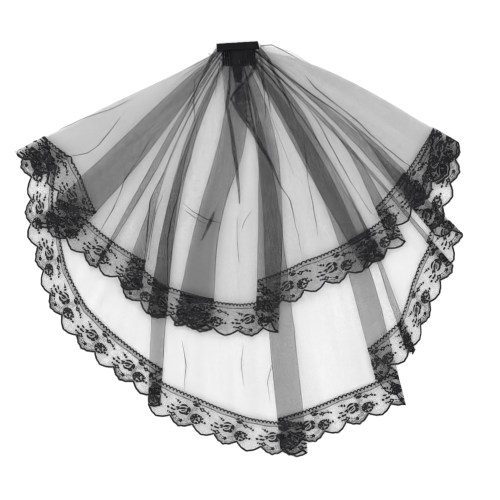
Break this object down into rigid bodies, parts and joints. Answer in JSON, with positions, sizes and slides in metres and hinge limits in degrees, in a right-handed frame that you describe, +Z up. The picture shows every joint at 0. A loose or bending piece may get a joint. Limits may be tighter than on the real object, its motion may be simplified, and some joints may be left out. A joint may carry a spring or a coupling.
{
  "type": "short two-tier veil on a hair comb",
  "caption": "Short veil of two net tiers with a scalloped floral lace edge, gathered into a ribbon band on a hair comb and laid out flat.",
  "frame": {"origin": "under the middle of the ribbon band, on the surface that the veil lies on", "axes": "+X to the right along the width of the spread veil, +Y from the hem towards the band, +Z up from the surface"},
  "size_m": [0.7424, 0.6931, 0.0132],
  "materials": {
    "comb_plastic": "black moulded plastic, polished",
    "band_ribbon": "black ribbon, folded over the gathers and stitched",
    "net": "fine black hexagonal net, sheer",
    "lace": "black machine lace with roses, open ground and a scalloped edge"
  },
  "bodies": {
    "root": {"comb": "comb_plastic", "band": "band_ribbon", "upper_tulle": "net", "lower_tulle": "net", "upper_lace": "lace", "lower_lace": "lace"}
  },
  "joints": []
}
